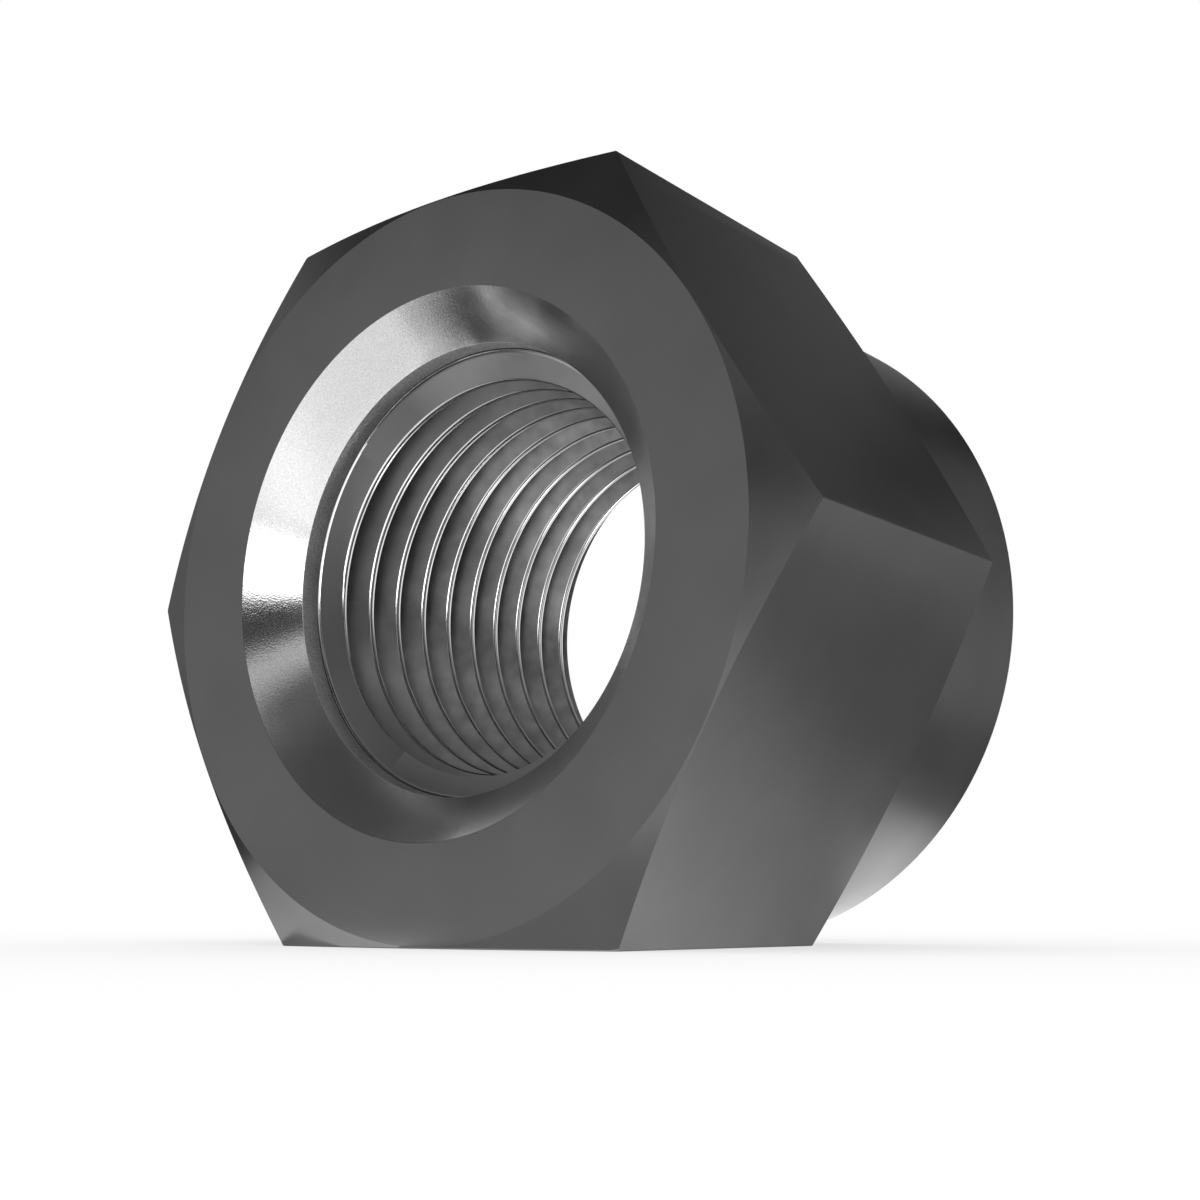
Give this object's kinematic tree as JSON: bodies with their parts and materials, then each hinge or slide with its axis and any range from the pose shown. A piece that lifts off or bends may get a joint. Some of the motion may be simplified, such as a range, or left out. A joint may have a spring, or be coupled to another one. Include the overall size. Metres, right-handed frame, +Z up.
{
  "type": "hex lock nut",
  "caption": "Hexagonal lock nut with a plain round collar, countersunk threaded hole right through, lying on one flat.",
  "frame": {"origin": "on the surface that the nut lies on, under the middle of its box", "axes": "+Y along the thread axis from the hexagon's face to the collar's end, +Z up from the flat it lies on, +X towards a corner of the hexagon"},
  "size_m": [0.0312, 0.0194, 0.027],
  "materials": {
    "oxide_steel": "dark satin oxide"
  },
  "bodies": {
    "root": {"hex_lock_nut": "oxide_steel"}
  },
  "joints": []
}
